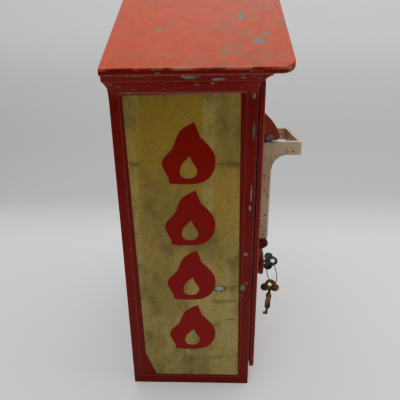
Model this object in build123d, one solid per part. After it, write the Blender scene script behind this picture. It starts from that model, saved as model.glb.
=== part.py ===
"""A wall-mounted fire alarm call point: a gable-roofed cast box with a hinged door.

A cream pull cover with a hand bar sits on the door and hinges at its foot. Opening it turns a
cam, which pushes a rod through the door and tips a bell crank under the movement case. The case
holds a spring-driven code wheel movement. A key with a ring and a spare key hangs from the lock.

Lengths are in millimetres. Heights are measured from the box's base while modelling, and the
depths from the back plate's rear face, with the front towards -Y. The export moves everything so
that the origin is the centre of the wall bolts, on the mounting pads' rear plane.
"""

import os
from math import atan, cos, pi, radians, sin, sqrt, tan

from build123d import *

# ---- the cast shell ----
WIDTH = 288.0
DEPTH = 140.0
WALL = 6.0
FRONT = -DEPTH
HALF = WIDTH / 2
EAVE_HALF = 161.0
EAVE_TOP = 370.0
ROOF_SLOPE = tan(radians(28.4))
RIDGE = EAVE_TOP + EAVE_HALF * ROOF_SLOPE
ROOF_FRONT = -171.0
BACK_LIP = 3.0  # how far the roof and the mounting pads stand behind the back plate
SLAB = 6.0
ROOF_CORNER = 14.0
COVE_FOOT = 340.0
COVE_OUT = 9.0
BOLT_HEIGHT = 200.0
BOLT_X = 200.0
BOLT_Z = 280.0
BOLT_R = 4.5
CONDUIT_R = 16.0
CONDUIT_Y = -70.0
GROUND_PLACE = (118.0, -WALL, 100.0)
BOSS_DEPTH = 15.0  # how far the back plate's bosses stand into the box
BOSS_FACE = -14.0  # the seat of the movement case and of the gong's post

# ---- the side signs, in the recesses of the side walls ----
SIGN_FOOT = 11.0
SIGN_TOP = 349.0
SIGN_BACK = -10.0
SIGN_FRONT = -129.0
SIGN_CORNERS = ((-16.5, 44), (-12.5, 345.8), (-123.6, 347.2), (-127.4, 13), (-28.5, 13))
RECESS = 1.2
SIGN_THICK = 0.6
MARK_THICK = 0.4
FLAME_PLACES = (289.5, 221.0, 152.5, 83.0)  # heights of the four marks
FLAME_Y = -73.0

# ---- the door ----
DOOR_HALF = 136.0
DOOR_FOOT = 17.0
DOOR_BACK = -142.5
DOOR_FACE = -147.5
DOOR_DROP = 27.0  # from the roof's top plane down to the door's raked top edges
OPENING_HALF = 120.0
OPENING_FOOT = 50.0
OPENING_DROP = 58.0
HINGE_X = 151.0
HINGE_Y = -143.0
HINGE_R = 6.5
HINGE_PIN_R = 3.0
HINGE_HEIGHTS = (95.0, 300.0)
RUNNING = 0.05  # radial clearance of a pin in its hole
PRESS = 0.01  # radial allowance of a pin that is held tight
RIM_BACK = -134.0
RIM_HALF = 117.0
RIM_THICK = 5.0
GASKET_THICK = 2.2

# ---- the pull cover ----
COVER_HALF = 50.0
COVER_WALL = 4.0
COVER_FRONT = -170.0
COVER_BACK = -149.5
COVER_FOOT = 152.5
COVER_TOP = 281.0
PIVOT_Y = -164.0
PIVOT_Z = 145.0
EAR_R = 6.5
EAR_INNER = 44.5
COVER_PIN_R = 2.5
BAR_FRONT = -206.0
BAR_THICK = 5.0
ARM_THICK = 7.0
ARM_FOOT = 265.0
GUSSET_R = 18.0
CAM_R = 9.0
CAM_OFFSET = 5.0
CAM_START = radians(30)
CAM_Y = PIVOT_Y - CAM_OFFSET * sin(CAM_START)
CAM_Z = PIVOT_Z - CAM_OFFSET * cos(CAM_START)
ROD_R = 5.0
HOOD_FOOT = 283.0
HOOD_TOP = 321.0
HOOD_SIDE = 5.0
PIN_HOOD = (-165.5, 286.6)
PIN_REACH = COVER_HALF + 0.7  # from the middle to the inner face of a pin's head
PIN_HEAD_R = 4.0
THROUGH = 60.0  # long enough to cut through the cover's width on both sides

# ---- the lock and its keys ----
LOCK_X = -97.0
LOCK_Z = 145.0
ESCUTCHEON_R = 16.0
ESCUTCHEON_FRONT = -157.5
PLUG_R = 7.0
KEY_THICK = 2.0
KEY_HOLE_R = 2.8
KEY_HOLE_Y = -169.3
KEY_TOP_R = 6.6
KEY_LOBE_R = 5.3
RING_R = 14.4
RING_WIRE = 0.8
RING_TURN = 17.0
SPARE_TILT = 4.0
RING_TOP_Z = LOCK_Z - KEY_HOLE_R + RING_WIRE + 0.1
RING_FOOT_Z = RING_TOP_Z - 2 * RING_R
SPARE_HOLE_Z = RING_FOOT_Z - 1.5
LOCK_FRONT = -154.5  # the front of the door's lock boss
LOCK_BACK = -134.5

# ---- the movement ----
CASE_HALF = 85.0
CASE_FOOT = 150.0
CASE_TOP = 326.0
CASE_FRONT = -88.0
CASE_WALL = 3.5
PLATE_HALF = 72.0
PLATE_FOOT = 163.0
PLATE_TOP = 313.0
BACK_PLATE_Y = -20.0
FRONT_PLATE_Y = -70.0
PLATE_THICK = 2.5
MODULE = 1.5
WHEEL_TEETH = 48
PINION_TEETH = 16
PRESSURE = radians(20)
BACKLASH = 0.24
CENTRES = MODULE * (WHEEL_TEETH + PINION_TEETH) / 2
BARREL = (-30.0, 212.0)
CODE_ANGLE = 35.0
ESCAPE_ANGLE = 80.0
CRANK_Y = -98.0
CRANK_Z = 112.0
CRANK_ARM_FACE = -103.0
CRANK_HALF = 4.0
CRANK_PIN_R = 3.0
FINGER_TOP = 184.0
ROD_TIP_Y = CRANK_ARM_FACE - 0.5
ARBOR_R = 3.0
ARBOR_BACK = -18.5
CODE_WHEEL_R = 30.0
BEZEL_INSET = 5.5
PILLAR_INSET = 7.0
PILLAR_SCREW_R = 2.0
GLASS_EDGE = 9.0  # from the case's side to the glass's seat

# ---- the bell ----
GONG_R = 38.0
GONG_Z = 374.0
GONG_RIM_Y = -40.0
GONG_HOLE_R = 3.0
TAPPER_X = 66.0
TAPPER_Z = 352.0
TAPPER_PIN_R = 2.0
COIL_Z = 339.0
COIL_YS = (-26.0, -44.0)
COIL_R = 7.0
HAMMER = (45.6, 372.0)


# ---------------------------------------------------------------- helpers
def block(x0, x1, y0, y1, z0, z1):
    """A box between two corners."""
    size = (abs(x1 - x0), abs(y1 - y0), abs(z1 - z0))
    return Pos((x0 + x1) / 2, (y0 + y1) / 2, (z0 + z1) / 2) * Box(*size)


def rod_x(radius, x0, x1, y, z):
    """A cylinder along X."""
    return Pos((x0 + x1) / 2, y, z) * Rot(0, 90, 0) * Cylinder(radius, abs(x1 - x0))


def rod_y(radius, y0, y1, x, z):
    """A cylinder along Y."""
    return Pos(x, (y0 + y1) / 2, z) * Rot(90, 0, 0) * Cylinder(radius, abs(y1 - y0))


def rod_z(radius, z0, z1, x, y):
    """A cylinder along Z."""
    return Pos(x, y, (z0 + z1) / 2) * Cylinder(radius, abs(z1 - z0))


def prism_y(points, y0, y1):
    """A polygon of (x, z) points, extruded along Y."""
    face = Plane.XZ.offset(-max(y0, y1)) * make_face(Polyline(*points, close=True))
    return extrude(face, abs(y1 - y0))


def prism_x(points, x0, x1):
    """A polygon of (y, z) points, extruded along X."""
    face = Plane.YZ.offset(min(x0, x1)) * make_face(Polyline(*points, close=True))
    return extrude(face, abs(x1 - x0))


def roof_z(x, drop=0.0):
    """Height of the roof's top plane over x, less a drop."""
    return EAVE_TOP + (EAVE_HALF - abs(x)) * ROOF_SLOPE - drop


def house(half, foot, drop, y0, y1):
    """A gabled prism: upright sides, a flat foot and a top parallel to the roof."""
    side = roof_z(half, drop)
    points = [(-half, foot), (half, foot), (half, side), (0, roof_z(0, drop)), (-half, side)]
    return prism_y(points, y0, y1)


def pan_screw(x, y, z, head_r, head_h, shank_r, length):
    """A slotted pan-head screw driven towards +Y, with its head's seat at y."""
    head = rod_y(head_r, y - head_h, y, x, z)
    slot = block(x - head_r, x + head_r, y - head_h, y - head_h / 2, z - 0.5, z + 0.5)
    return head - slot + rod_y(shank_r, y, y + length, x, z)


def headed_pin(radius, head, y, z):
    """A pin along X through the cover's or the hood's sides, with a head of this length on each end."""
    pin = rod_x(radius, -COVER_HALF - 1, COVER_HALF + 1, y, z)
    for side in (-1, 1):
        pin += rod_x(PIN_HEAD_R, side * PIN_REACH, side * (PIN_REACH + head), y, z)
    return pin


def screw_places(inset, half, foot, top):
    """The four corners of a plate, at an inset from its edges."""
    return [(x, z) for x in (inset - half, half - inset) for z in (foot + inset, top - inset)]


def on_circle(centre, radius, degrees_from_x):
    """A point at an angle round a centre in the XZ plane."""
    turn = radians(degrees_from_x)
    return centre[0] + radius * cos(turn), centre[1] + radius * sin(turn)


PILLARS = screw_places(PILLAR_INSET, PLATE_HALF, PLATE_FOOT, PLATE_TOP)
CODE = on_circle(BARREL, CENTRES, CODE_ANGLE)
ESCAPE = on_circle(CODE, CENTRES, ESCAPE_ANGLE)


# ---------------------------------------------------------------- shell
def side_outline():
    """The front view of the box with its side mouldings, as a face extruded along Y."""
    edges = [
        Line((0, 0), (HALF, 0)),
        Line((HALF, 0), (HALF, COVE_FOOT)),
        TangentArc((HALF, COVE_FOOT), (HALF + COVE_OUT, COVE_FOOT + 18), tangent=(0, 1)),
        Polyline(
            (HALF + COVE_OUT, COVE_FOOT + 18),
            (HALF + COVE_OUT + 1.5, COVE_FOOT + 18),
            (HALF + COVE_OUT + 3, EAVE_TOP - SLAB),
            (EAVE_HALF, EAVE_TOP - SLAB),
            (EAVE_HALF, EAVE_TOP),
            (0, RIDGE),
            (0, 0),
        ),
    ]
    half = extrude(Plane.XZ.offset(-BACK_LIP) * make_face(edges), BACK_LIP - ROOF_FRONT)
    return half + mirror(half, Plane.YZ)


def front_profile():
    """The side view with its front and back mouldings, swept down both slopes from the ridge."""
    low = -120.0
    cove_top = RIDGE - 11
    edges = [
        Polyline((0, low), (FRONT, low), (FRONT, cove_top - 14)),
        TangentArc((FRONT, cove_top - 14), (FRONT - COVE_OUT, cove_top), tangent=(0, 1)),
        Polyline(
            (FRONT - COVE_OUT, cove_top),
            (FRONT - COVE_OUT - 1.5, cove_top),
            (FRONT - COVE_OUT - 3, RIDGE - SLAB),
            (ROOF_FRONT, RIDGE - SLAB),
            (ROOF_FRONT, RIDGE + 1),
            (BACK_LIP, RIDGE + 1),
            (BACK_LIP, cove_top - 4),
            (0, cove_top - 14),
            (0, low),
        ),
    ]
    face = Plane.YZ * make_face(edges)
    reach = EAVE_HALF + 4
    length = reach * sqrt(1 + ROOF_SLOPE**2)
    left = extrude(face, length, dir=(-1, 0, -ROOF_SLOPE))
    right = extrude(face, length, dir=(1, 0, -ROOF_SLOPE))
    return left + right


def roof_plan():
    """The roof's outline seen from above, with rounded front corners."""
    plan = block(-EAVE_HALF, EAVE_HALF, BACK_LIP, ROOF_FRONT, 0, RIDGE + 1)
    front_corners = [e for e in plan.edges().filter_by(Axis.Z) if e.center().Y < ROOF_FRONT + 1]
    return fillet(front_corners, ROOF_CORNER)


def roof_arrises(solid):
    """The upper edges of the roof: both eaves, both front rakes and the corners between them."""
    found = []
    for e in solid.edges():
        c = e.center()
        on_roof = abs(c.Z - roof_z(c.X)) < 0.6 and c.Z > EAVE_TOP - 1
        if on_roof and abs(c.X) > 1 and c.Y < -1 and (
            abs(abs(c.X) - EAVE_HALF) < 5 or c.Y < ROOF_FRONT + 5
        ):
            found.append(e)
    return found


def hinge_knuckle(z0, z1, wall_side):
    """A lug round the hinge axis, joined to the shell's wall or to the door's face."""
    barrel = rod_z(HINGE_R, z0, z1, HINGE_X, HINGE_Y)
    if wall_side:
        web = block(HALF - WALL, HINGE_X, HINGE_Y, FRONT + 12, z0, z1)
    else:
        web = block(DOOR_HALF - 16, HINGE_X, HINGE_Y - HINGE_R, HINGE_Y - 0.5, z0, z1)
    return barrel + web


def hinge_bore(z0, z1, clearance):
    """The hole for a door hinge pin."""
    return rod_z(HINGE_PIN_R + clearance, z0 - 1, z1 + 1, HINGE_X, HINGE_Y)


def housing():
    """The whole housing before it is divided into its castings."""
    body = side_outline() & front_profile() & roof_plan()
    body = fillet(roof_arrises(body), 2.4)
    body -= inner_house(FRONT + WALL, -WALL)
    body -= house(OPENING_HALF, OPENING_FOOT, OPENING_DROP, FRONT - 2, FRONT + WALL + 1)
    for side in (-1, 1):
        outer, inner = side * (HALF + 1), side * (HALF - RECESS)
        body -= block(outer, inner, SIGN_BACK, SIGN_FRONT, SIGN_FOOT, SIGN_TOP)
    for x in (-BOLT_X / 2, BOLT_X / 2):
        for z in (BOLT_HEIGHT - BOLT_Z / 2, BOLT_HEIGHT + BOLT_Z / 2):
            body += rod_y(11, -12, -2, x, z) + rod_y(14, -2, BACK_LIP, x, z)
            body -= rod_y(BOLT_R, -13, BACK_LIP + 1, x, z)
    body += rod_z(24, 1, 12, 0, CONDUIT_Y)
    body -= rod_z(CONDUIT_R + 3, -1, 13, 0, CONDUIT_Y)
    for z in HINGE_HEIGHTS:
        for z0, z1 in ((z - 22, z - 8), (z + 8, z + 22)):
            body += hinge_knuckle(z0, z1, True) - hinge_bore(z0, z1, RUNNING)
    for x, z in case_screw_places():
        body += rod_y(7, -14, -2, x, z)
        body -= rod_y(2.5, -15, -3, x, z)
    body += rod_y(8, -14, -2, 0, GONG_Z)
    body -= rod_y(GONG_HOLE_R, -15, -3, 0, GONG_Z)
    body -= rod_y(3, -WALL - 1, -WALL + 3.2, GROUND_PLACE[0], GROUND_PLACE[2])
    return body


def inner_house(y0, y1):
    """The inside of the housing's walls and roof, between two depths."""
    return house(HALF - WALL, WALL, 9.5, y0, y1)


def castings():
    """The housing's castings: back plate, front frame, roof, two side walls and base."""
    whole = housing()
    behind = BACK_LIP + 1
    back_space = inner_house(-BOSS_DEPTH, behind)
    front_space = inner_house(FRONT, FRONT + WALL)
    rest = whole - back_space - front_space
    reach = EAVE_HALF + 1
    above = block(-reach, reach, ROOF_FRONT - 1, behind, COVE_FOOT, RIDGE + 1)
    tray = rest - above
    left = block(-reach, WALL - HALF, ROOF_FRONT, behind, -1, COVE_FOOT + 1)
    right = mirror(left, Plane.YZ)
    return {
        "shell_back": whole & back_space,
        "shell_front": whole & front_space,
        "roof": rest & above,
        "shell_left": tray & left,
        "shell_right": tray & right,
        "shell_base": tray - left - right,
    }


def sign(side):
    """The reflective sheet stuck in a side's recess, hand-cut, with one corner cut away."""
    inner = HALF - RECESS
    return prism_x(SIGN_CORNERS, side * inner, side * (inner + SIGN_THICK))


def flame_face():
    """A generic flame, 62 mm tall and 54 mm wide, with a small inner tongue cut out."""
    left = Spline(
        (0, -31), (-24, -20), (-25, 2), (-13, 16), (-7, 31), tangents=((-1, 0), (0.4, 1))
    )
    right = Spline(
        (-7, 31), (9, 20), (15, 6), (26, -9), (20, -25), (0, -31), tangents=((0.9, -0.4), (-1, 0))
    )
    tongue_left = Spline((0, -25), (-9, -17), (-2, -2), tangents=((-1, 0), (0.3, 1)))
    tongue_right = Spline((-2, -2), (8, -15), (0, -25), tangents=((0.7, -0.7), (-1, 0)))
    return make_face([left, right]) - make_face([tongue_left, tongue_right])


def marks(side):
    """Four flame pictograms in a column on a sign."""
    face = HALF - RECESS + SIGN_THICK
    x0 = face if side > 0 else -face - MARK_THICK
    column = []
    for z in FLAME_PLACES:
        flat = Plane.YZ.offset(x0) * Pos(FLAME_Y, z) * flame_face()
        column.append(extrude(flat, MARK_THICK))
    return column


def case_screw_places():
    """Where the movement case is screwed to the back plate's bosses."""
    return screw_places(10, CASE_HALF, CASE_FOOT, CASE_TOP)


def conduit_bushing():
    """A threaded reducing bush that the conduit screws into, flush with the base."""
    ring = rod_z(CONDUIT_R + 2.9, 0.4, 14, 0, CONDUIT_Y)
    flange = rod_z(22, 12.2, 16, 0, CONDUIT_Y)
    return ring + flange - rod_z(CONDUIT_R, 0, 17, 0, CONDUIT_Y)


def ground_screw():
    """The earth screw in the back plate."""
    return pan_screw(*GROUND_PLACE, 6, 3, 2.99, 3)


# ---------------------------------------------------------------- door
def hood_outline():
    """The rain hood over the pull cover, in (y, z): a curved front and a flat foot."""
    return [
        ThreePointArc((DOOR_FACE, HOOD_TOP), (-168.5, 306), (-177.5, 289)),
        ThreePointArc((-177.5, 289), (-176.5, 284.8), (-172.5, HOOD_FOOT)),
        Polyline((-172.5, HOOD_FOOT), (DOOR_FACE, HOOD_FOOT), (DOOR_FACE, HOOD_TOP)),
    ]


def hood():
    """The rain hood, with the holes for its pin."""
    profile = make_face(hood_outline())
    outer = extrude(Plane.YZ.offset(-COVER_HALF - 0.5) * profile, 2 * COVER_HALF + 1)
    hollow = [
        (DOOR_FACE + 1, HOOD_FOOT - 1),
        (-172, HOOD_FOOT - 1),
        (-172, 292),
        (-166, 302),
        (-156, 311),
        (DOOR_FACE + 1, HOOD_TOP - 6),
    ]
    inner = prism_x(hollow, HOOD_SIDE - COVER_HALF, COVER_HALF - HOOD_SIDE)
    return outer - inner - rod_x(COVER_PIN_R + PRESS, -THROUGH, THROUGH, *PIN_HOOD)


def cover_ear(side):
    """A lug that carries the pull cover's hinge pin, with a tapered gusset under it."""
    inner, outer = side * EAR_INNER, side * (COVER_HALF + 0.5)
    ear = rod_x(EAR_R, inner, outer, PIVOT_Y, PIVOT_Z)
    web = [
        (PIVOT_Y, PIVOT_Z + EAR_R),
        (DOOR_FACE + 1, PIVOT_Z + EAR_R),
        (DOOR_FACE + 1, 116),
        (PIVOT_Y - 1, PIVOT_Z - EAR_R),
    ]
    return ear + prism_x(web, inner, outer)


def door():
    """The door: a chamfered plate with a raised bead, hinge knuckles, lock boss and rod boss."""
    plate = house(DOOR_HALF, DOOR_FOOT, DOOR_DROP, DOOR_FACE, DOOR_BACK)
    upright = [e for e in plate.edges().filter_by(Axis.Y) if e.center().Z < 400]
    plate = fillet(upright, 5)
    plate = chamfer([e for e in plate.faces().sort_by(Axis.Y)[0].edges()], 1.2)
    bead = house(DOOR_HALF - 12, DOOR_FOOT + 12, DOOR_DROP + 13, DOOR_FACE - 1.2, DOOR_FACE + 1)
    bead -= house(DOOR_HALF - 17, DOOR_FOOT + 17, DOOR_DROP + 18.5, DOOR_FACE - 3, DOOR_FACE + 2)
    body = plate + bead
    for side in (-1, 1):
        body += cover_ear(side)
    body -= rod_x(COVER_PIN_R + PRESS, -THROUGH, THROUGH, PIVOT_Y, PIVOT_Z)
    body += rod_y(15, LOCK_FRONT, DOOR_FACE + 1, LOCK_X, LOCK_Z)
    body -= rod_y(11, LOCK_FRONT - 1, RIM_BACK + 1, LOCK_X, LOCK_Z)
    body += rod_y(12, DOOR_BACK - 1, RIM_BACK, 0, CAM_Z)
    body -= rod_y(8, LOCK_FRONT - 1, RIM_BACK + 1, 0, CAM_Z)
    for z in HINGE_HEIGHTS:
        body += hinge_knuckle(z - 7.5, z + 7.5, False)
        body -= hinge_bore(z - 7.5, z + 7.5, PRESS)
    return body


def door_rim():
    """The stiffening frame on the back of the door, which just enters the opening."""
    outer = house(RIM_HALF, 53, 61, DOOR_BACK, RIM_BACK)
    return outer - house(RIM_HALF - RIM_THICK, 58, 66.5, DOOR_BACK - 1, RIM_BACK + 1)


def cover_seat():
    """The raised frame on the door's face that the closed pull cover fits over."""
    outer = block(-43.5, 43.5, -158, DOOR_FACE, 162, 272)
    return outer - block(-38, 38, -159, DOOR_FACE + 1, 168, 266)


def gasket():
    """The felt weather strip glued round the back of the door's plate."""
    ring = house(132, 38, 31.5, DOOR_BACK, DOOR_BACK + GASKET_THICK)
    return ring - house(124, 46, 40.5, DOOR_BACK - 1, DOOR_BACK + GASKET_THICK + 1)


def hinge_pins():
    """Two headed door hinge pins."""
    pins = []
    for z in HINGE_HEIGHTS:
        pin = rod_z(HINGE_PIN_R, z - 22, z + 23, HINGE_X, HINGE_Y)
        pins.append(pin + rod_z(4.5, z + 22.2, z + 25, HINGE_X, HINGE_Y))
    return pins


def rod_bushing():
    """The brass bush in the door that guides the push rod."""
    front, back = DOOR_FACE - 2.5, RIM_BACK + 2
    bush = rod_y(8, front, back, 0, CAM_Z) + rod_y(10.5, front, DOOR_FACE, 0, CAM_Z)
    return bush - rod_y(ROD_R + RUNNING, front - 1, back + 1, 0, CAM_Z)


# ---------------------------------------------------------------- pull cover
def gusset(side):
    """The curved bracket under a handle arm."""
    edges = [
        Polyline((COVER_FRONT - GUSSET_R, ARM_FOOT), (COVER_FRONT + 1, ARM_FOOT),
                 (COVER_FRONT + 1, ARM_FOOT - GUSSET_R), (COVER_FRONT, ARM_FOOT - GUSSET_R)),
        TangentArc((COVER_FRONT, ARM_FOOT - GUSSET_R), (COVER_FRONT - GUSSET_R, ARM_FOOT),
                   tangent=(0, 1)),
    ]
    face = make_face(edges)
    start = side * COVER_HALF if side < 0 else COVER_HALF - ARM_THICK
    return extrude(Plane.YZ.offset(start) * face, ARM_THICK)


def pull_cover():
    """The pull cover: a shallow open box with a hand bar on two arms, and its hinge barrels."""
    outer = block(-COVER_HALF, COVER_HALF, COVER_FRONT, COVER_BACK, COVER_FOOT, COVER_TOP)
    front_edges = outer.faces().sort_by(Axis.Y)[0].edges()
    outer = fillet(front_edges, 2.5)
    inner_half = COVER_HALF - COVER_WALL
    outer -= block(-inner_half, inner_half, COVER_FRONT + COVER_WALL, COVER_BACK + 1,
                   COVER_FOOT - 1, COVER_TOP - COVER_WALL)
    outer -= rod_x(EAR_R + 1, -THROUGH, THROUGH, PIVOT_Y, PIVOT_Z)
    arms = block(-COVER_HALF, COVER_HALF, BAR_FRONT, COVER_FRONT + 1, ARM_FOOT, COVER_TOP)
    corner = [e for e in arms.edges().filter_by(Axis.Z) if e.center().Y < BAR_FRONT + 1]
    arms = fillet(corner, 4)
    gap_half = COVER_HALF - ARM_THICK
    gap = block(-gap_half, gap_half, BAR_FRONT + BAR_THICK, COVER_FRONT, ARM_FOOT - 1, COVER_TOP + 1)
    body = outer + (arms - gap) + gusset(-1) + gusset(1)
    for x0, x1 in ((-42.5, -20), (20, 42.5)):
        barrel = rod_x(6, x0, x1, PIVOT_Y, PIVOT_Z)
        web = block(x0, x1, COVER_FRONT + 0.5, COVER_FRONT + 5, PIVOT_Z, COVER_FOOT + 3)
        body += barrel + web
    body += block(-20.5, 20.5, COVER_FRONT + 0.5, COVER_FRONT + 4, PIVOT_Z + 8.5, COVER_FOOT + 3)
    body -= rod_x(COVER_PIN_R + RUNNING, -THROUGH, THROUGH, PIVOT_Y, PIVOT_Z)
    arrow = prism_y([(-5, 235), (5, 235), (5, 212), (12, 212), (0, 196), (-12, 212), (-5, 212)],
                    COVER_FRONT - 1.2, COVER_FRONT + 1)
    return body + arrow


def cover_cam():
    """An eccentric disc on the hinge line, whose edge pushes the rod as the cover opens."""
    cam = rod_x(CAM_R, -5, 5, CAM_Y, CAM_Z) + rod_x(5.5, -7, 7, PIVOT_Y, PIVOT_Z)
    arm = block(-5, 5, COVER_FRONT + 4.2, COVER_FRONT + 7.2, PIVOT_Z, COVER_FOOT + 14)
    return cam + arm - rod_x(COVER_PIN_R + RUNNING, -8, 8, PIVOT_Y, PIVOT_Z)


def cover_pin():
    """The pull cover's hinge pin."""
    return headed_pin(COVER_PIN_R, 1.5, PIVOT_Y, PIVOT_Z)


def hood_pin():
    """The pin across the hood's foot, which carries the roller."""
    return headed_pin(COVER_PIN_R, 1.7, *PIN_HOOD)


def hood_roller():
    """The sleeve on the hood's pin that the cover's top edge rubs past."""
    return rod_x(3.9, -30, 30, *PIN_HOOD) - rod_x(COVER_PIN_R + PRESS, -31, 31, *PIN_HOOD)


def cover_springs():
    """Two torsion springs on the cover's pin that close it."""
    coils = []
    wire = 0.7
    for start in (8.5, -18.5):
        path = Helix(pitch=2.2, height=8.8, radius=4.4)
        section = Plane(origin=path @ 0, z_dir=path % 0) * Circle(wire)
        coil = sweep(section, path=path, is_frenet=True)
        coils.append(Pos(start, PIVOT_Y, PIVOT_Z) * Rot(0, 90, 0) * coil)
    return coils


def push_rod():
    """The rod from the cam to the bell crank, with a thin tip and a stop collar."""
    rod = rod_y(ROD_R, CAM_Y + CAM_R + 0.3, ROD_TIP_Y - 7, 0, CAM_Z)
    tip = rod_y(2.2, ROD_TIP_Y - 8, ROD_TIP_Y, 0, CAM_Z)
    return rod + tip + rod_y(7.5, ROD_TIP_Y - 12, ROD_TIP_Y - 9, 0, CAM_Z)


def bell_crank():
    """The trip lever: the rod tips its upright arm, and its finger drops from the great wheel."""
    half = CRANK_HALF
    hub = rod_x(6, -half, half, CRANK_Y, CRANK_Z)
    upright = block(-half, half, CRANK_ARM_FACE, CRANK_Y + 1, CRANK_Z, CAM_Z + 7.33)
    level = block(-half, half, CRANK_Y, CRANK_Y + 42, CRANK_Z - 3, CRANK_Z + 3)
    finger = rod_z(3, CRANK_Z, FINGER_TOP, 0, CRANK_Y + 38)
    hole = rod_x(CRANK_PIN_R + RUNNING, -half - 1, half + 1, CRANK_Y, CRANK_Z)
    return hub + upright + level + finger - hole


def crank_bracket():
    """Two cheeks under the movement case that carry the bell crank's pin."""
    cheeks = []
    for x0, x1 in ((-8, -5), (5, 8)):
        cheek = prism_x(
            [(-106, CRANK_Z - 9), (-90, CRANK_Z - 9), (-72, CASE_FOOT - 3), (-106, CASE_FOOT - 3)],
            x0, x1,
        )
        cheeks.append(cheek)
    top = block(-14, 14, -106, -70, CASE_FOOT - 3, CASE_FOOT)
    top -= block(-4.5, 4.5, -107, -88, CASE_FOOT - 4, CASE_FOOT + 1)
    return cheeks[0] + cheeks[1] + top - rod_x(CRANK_PIN_R + PRESS, -9, 9, CRANK_Y, CRANK_Z)


def crank_pin():
    """The bell crank's pin, through both cheeks."""
    return rod_x(CRANK_PIN_R, -9.5, 9.5, CRANK_Y, CRANK_Z)


# ---------------------------------------------------------------- lock and keys
def lock_body():
    """The lock's barrel with a nut inside the door."""
    body = rod_y(10.9, LOCK_FRONT + 0.1, LOCK_BACK, LOCK_X, LOCK_Z)
    nut = rod_y(13.5, -142.4, -137.5, LOCK_X, LOCK_Z)
    return body + nut - rod_y(PLUG_R + RUNNING, LOCK_FRONT - 1, LOCK_BACK + 1, LOCK_X, LOCK_Z)


def escutcheon():
    """The domed round plate in front of the lock."""
    plate = rod_y(ESCUTCHEON_R, ESCUTCHEON_FRONT, LOCK_FRONT, LOCK_X, LOCK_Z)
    rim = [e for e in plate.edges() if abs(e.center().Y - ESCUTCHEON_FRONT) < 0.1]
    plate = fillet(rim, 2.2)
    return plate - rod_y(PLUG_R + 0.3, ESCUTCHEON_FRONT - 1, LOCK_FRONT + 1, LOCK_X, LOCK_Z)


def lock_plug():
    """The part that the key turns, with its slot and the stud for the lock's bar."""
    plug = rod_y(PLUG_R, -157.2, -133.6, LOCK_X, LOCK_Z)
    plug += rod_y(4, -133.6, -126.5, LOCK_X, LOCK_Z)
    slot = block(LOCK_X - KEY_THICK / 2 - 0.2, LOCK_X + KEY_THICK / 2 + 0.2, -160, -137,
                 LOCK_Z - 4.2, LOCK_Z + 4.2)
    return plug - slot


def lock_cam():
    """The bar that swings behind the shell's front flange. It hangs down when unlocked."""
    bar = block(LOCK_X - 6, LOCK_X + 6, -132.5, -129.5, LOCK_Z - 34, LOCK_Z)
    bar += rod_y(8, -132.5, -129.5, LOCK_X, LOCK_Z)
    nut = rod_y(6.5, -129.5, -126.8, LOCK_X, LOCK_Z)
    return bar + nut - rod_y(4.01, -134, -126, LOCK_X, LOCK_Z)


def key_flat():
    """A flat key along +X from the centre of its hole: a three-lobed bow and a bitted blade."""
    lobe_x, lobe_y = 4.8, 6.4
    bow = Circle(KEY_TOP_R) + Pos(lobe_x, 0) * Rectangle(7, 10)
    for side in (-1, 1):
        bow += Pos(lobe_x, side * lobe_y) * Circle(KEY_LOBE_R)
    bow -= Circle(KEY_HOLE_R)
    blade = Polyline(
        (5, 1.9), (13, 1.9), (15, 3.6), (19, 3.6), (19.6, 2.9), (22, 2.9), (22.6, 3.6),
        (30, 3.6), (35, 3.2), (35.6, 1.7), (41, 1.7), (41.6, 4.6), (44.4, 4.6), (45, 1.7),
        (45, -1.7), (36, -1.7), (35, -3.6), (27, -3.6), (26.4, -2.9), (24, -2.9), (23.4, -3.6),
        (15, -3.6), (13, -1.9), (5, -1.9), close=True,
    )
    return bow + make_face(blade)


def key_in_lock():
    """The key in the plug; its blade is only as long as the plug's slot."""
    flat = key_flat() - Pos(50, 0) * Rectangle(38, 20)
    solid = extrude(flat, KEY_THICK / 2, both=True)
    return Pos(LOCK_X, KEY_HOLE_Y, LOCK_Z) * (Plane.YZ * solid)


def key_ring():
    """A plain wire ring through both keys' holes."""
    ring = Torus(RING_R, RING_WIRE)
    turned = Rot(0, 0, RING_TURN) * Rot(90, 0, 0) * ring
    return Pos(LOCK_X, KEY_HOLE_Y, RING_TOP_Z - RING_R) * turned


def spare_key():
    """The whole key that hangs from the ring."""
    solid = extrude(key_flat(), KEY_THICK / 2, both=True)
    hanging = Rot(SPARE_TILT - 90, 0, 0) * (Plane.YZ * solid)
    return Pos(LOCK_X, KEY_HOLE_Y + 0.8, SPARE_HOLE_Z) * hanging


# ---------------------------------------------------------------- movement case
def inner_case():
    """The movement's case: an open-fronted box with a slot in its foot for the crank's finger."""
    outer = block(-CASE_HALF, CASE_HALF, CASE_FRONT, BOSS_FACE, CASE_FOOT, CASE_TOP)
    outer = fillet(outer.edges().filter_by(Axis.Y), 6)
    inner = block(-CASE_HALF + CASE_WALL, CASE_HALF - CASE_WALL, CASE_FRONT - 1, BOSS_FACE - CASE_WALL,
                  CASE_FOOT + CASE_WALL, CASE_TOP - CASE_WALL)
    case = outer - inner - block(-5, 5, -66, -48, CASE_FOOT - 1, CASE_FOOT + CASE_WALL + 1)
    for x, z in case_screw_places():
        case -= rod_y(2.6, -20, -10, x, z)
    return case


def case_screws():
    """The screws through the case's back."""
    head_y = BOSS_FACE - CASE_WALL
    return [pan_screw(x, head_y, z, 4.4, 2.2, 2.4, 9) for x, z in case_screw_places()]


def inset_block(inset, y0, y1):
    """A block as large as the case's front, less an inset on each side."""
    half = CASE_HALF - inset
    return block(-half, half, y0, y1, CASE_FOOT + inset, CASE_TOP - inset)


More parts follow.
